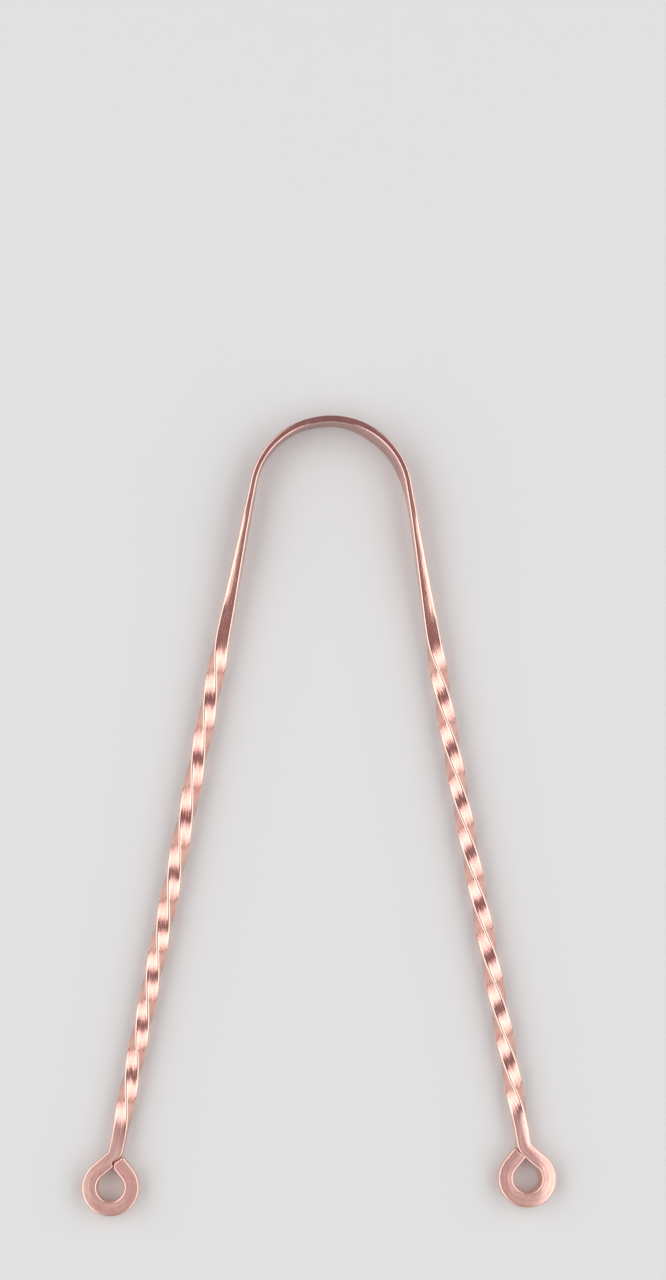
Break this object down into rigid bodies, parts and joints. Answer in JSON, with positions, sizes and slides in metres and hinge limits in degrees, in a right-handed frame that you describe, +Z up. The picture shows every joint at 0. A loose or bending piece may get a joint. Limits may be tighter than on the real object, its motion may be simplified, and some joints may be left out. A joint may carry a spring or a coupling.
{
  "type": "tongue scraper",
  "caption": "Springy U-shaped copper tongue scraper: a thin half-round scraping bow on splayed, twisted square arms that end in closed eyes.",
  "frame": {"origin": "middle of the floor that the whole tool covers, at the height of the bow's lower edge", "axes": "+Y along the tool from the eyes to the crown of the bow, +X towards the right arm, +Z up, square to the plane of the U"},
  "size_m": [0.074, 0.128, 0.0044],
  "materials": {
    "beaten_copper": "beaten smooth and polished copper",
    "polished_copper": "polished copper with faint drawing lines",
    "satin_copper": "satin copper, dulled by heating for the bend"
  },
  "bodies": {
    "bow": {"scraping_bow": "beaten_copper"},
    "left_arm": {"left_shoulder": "beaten_copper", "left_twisted_shank": "polished_copper", "left_eye": "satin_copper"},
    "right_arm": {"right_shoulder": "beaten_copper", "right_twisted_shank": "polished_copper", "right_eye": "satin_copper"}
  },
  "joints": [
    {"name": "left_flex", "type": "hinge", "parent": "bow", "child": "left_arm", "pos_m": [-0.01215, 0.05301, 0.0022], "axis": [0, 0, 1], "range_deg": [-4, 6], "stiffness_Nm_per_rad": 2},
    {"name": "right_flex", "type": "hinge", "parent": "bow", "child": "right_arm", "pos_m": [0.01278, 0.05301, 0.0022], "axis": [0, 0, -1], "range_deg": [-4, 6], "stiffness_Nm_per_rad": 2}
  ]
}
